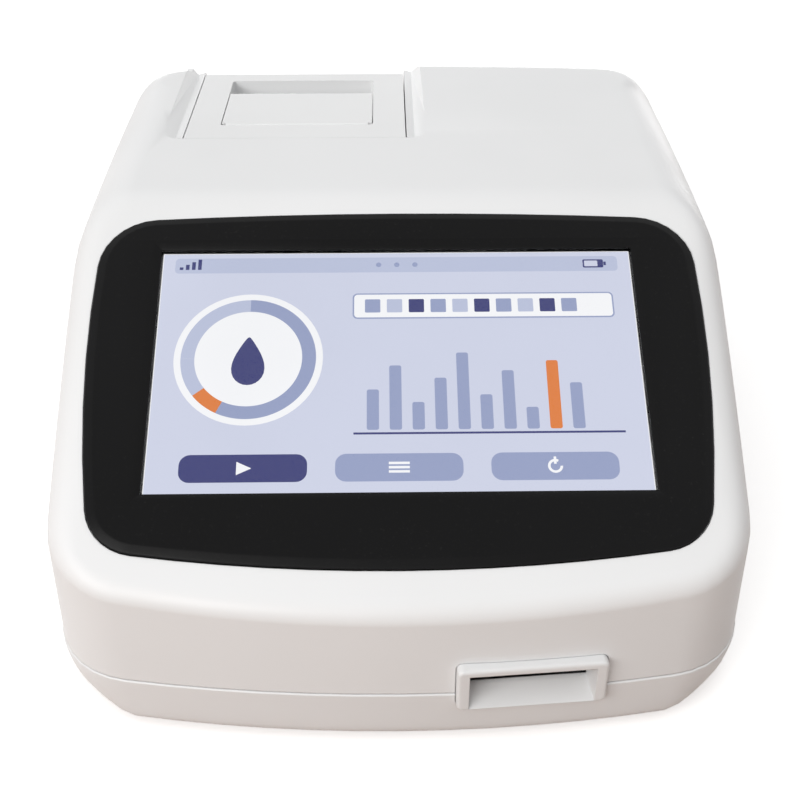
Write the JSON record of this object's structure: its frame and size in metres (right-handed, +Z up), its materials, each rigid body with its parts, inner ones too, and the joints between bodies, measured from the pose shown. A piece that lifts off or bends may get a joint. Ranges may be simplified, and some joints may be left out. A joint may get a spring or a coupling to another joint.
{
  "type": "urine test strip analyzer",
  "caption": "Desktop analyzer for urine test strips with a sloping touch screen, a motor-driven strip tray and a receipt printer under a hinged lid.",
  "frame": {"origin": "on the table, under the middle of the object", "axes": "+Z up, the screen and the strip port face -Y, +X to the right as seen from the front"},
  "size_m": [0.2246, 0.2647, 0.122],
  "materials": {
    "white_plastic": "fine satin moulded ABS",
    "black_plastic": "satin black moulding",
    "grey_plastic": "grey moulding",
    "acetal": "natural acetal",
    "screen_glass": "clear",
    "steel": "plated sheet and turned steel",
    "board": "green solder mask",
    "rubber": "matt black",
    "paper": null,
    "tile": "white calibration tile"
  },
  "bodies": {
    "housing": {"upper_housing": "white_plastic", "lower_housing": "white_plastic", "case_screw_1": "steel", "case_screw_2": "steel", "case_screw_3": "steel", "case_screw_4": "steel", "foot_front_left": "rubber", "foot_front_right": "rubber", "foot_rear_left": "rubber", "foot_rear_right": "rubber", "screen_bezel": "black_plastic", "touch_glass": "screen_glass", "lcd_module": "steel", "screen_bracket_left": "steel", "screen_bracket_right": "steel", "bracket_screw_1": "steel", "bracket_screw_2": "steel", "bracket_screw_3": "steel", "bracket_screw_4": "steel", "port_bezel": "white_plastic", "tray_guide": "black_plastic", "tray_motor": "steel", "tray_home_sensor": "black_plastic", "optical_head": "black_plastic", "optical_lens": "screen_glass", "sensor_board": "board", "lid_hinge_pin": "steel", "printer_motor": "steel", "printer_frame": "steel", "thermal_print_head": "steel", "tear_bar": "steel", "paper_bucket": "grey_plastic", "main_board": "board", "processor_chip": "black_plastic", "buzzer": "black_plastic", "display_ribbon": "board", "rear_panel": "grey_plastic", "usb_socket_1": "steel", "usb_socket_2": "steel", "serial_socket": "steel", "power_inlet": "black_plastic", "power_switch": "black_plastic"},
    "strip_tray": {"strip_tray": "white_plastic", "white_reference_tile": "tile"},
    "tray_pinion": {"tray_pinion": "acetal"},
    "printer_lid": {"printer_lid": "white_plastic", "paddle_pin": "steel"},
    "lid_paddle": {"lid_paddle": "white_plastic"},
    "platen": {"platen_roller": "rubber", "platen_shaft": "steel", "platen_gear": "acetal"},
    "printer_motor_gear": {"printer_motor_gear": "acetal"},
    "paper_roll": {"paper_roll": "paper"},
    "power_rocker": {"power_rocker": "black_plastic"}
  },
  "joints": [
    {"name": "tray_slide", "type": "slide", "parent": "housing", "child": "strip_tray", "axis": [0, -1, 0], "range_m": [0, 0.085]},
    {"name": "pinion_turn", "type": "hinge", "parent": "housing", "child": "tray_pinion", "pos_m": [0.01824, -0.09232, 0.0236], "axis": [0, 0, -1], "range_deg": [0, 812]},
    {"name": "lid_hinge", "type": "hinge", "parent": "housing", "child": "printer_lid", "pos_m": [-0.0373, 0.11774, 0.11234], "axis": [-1, 0, 0], "range_deg": [0, 85]},
    {"name": "paddle_hinge", "type": "hinge", "parent": "printer_lid", "child": "lid_paddle", "pos_m": [-0.0373, 0.06733, 0.11882], "axis": [1, 0, 0], "range_deg": [0, 40], "stiffness_Nm_per_rad": 0.02, "springref_deg": -11.46},
    {"name": "platen_turn", "type": "hinge", "parent": "printer_lid", "child": "platen", "pos_m": [-0.0373, 0.05909, 0.10889], "axis": [1, 0, 0], "continuous": true},
    {"name": "printer_gear_turn", "type": "hinge", "parent": "housing", "child": "printer_motor_gear", "pos_m": [-0.0373, 0.06226, 0.09919], "axis": [1, 0, 0], "continuous": true},
    {"name": "paper_roll_turn", "type": "hinge", "parent": "housing", "child": "paper_roll", "pos_m": [-0.0373, 0.09086, 0.08632], "axis": [1, 0, 0], "continuous": true},
    {"name": "power_rocker_tilt", "type": "hinge", "parent": "housing", "child": "power_rocker", "pos_m": [-0.049, 0.12661, 0.021], "axis": [0, 0, 1], "range_deg": [0, 16]}
  ],
  "couplings": [
    {"joint": "pinion_turn", "follows": "tray_slide", "rad_per_m": 166.67},
    {"joint": "platen_turn", "follows": "paper_roll_turn", "ratio": 4.6341},
    {"joint": "printer_gear_turn", "follows": "paper_roll_turn", "ratio": -6.6202}
  ]
}
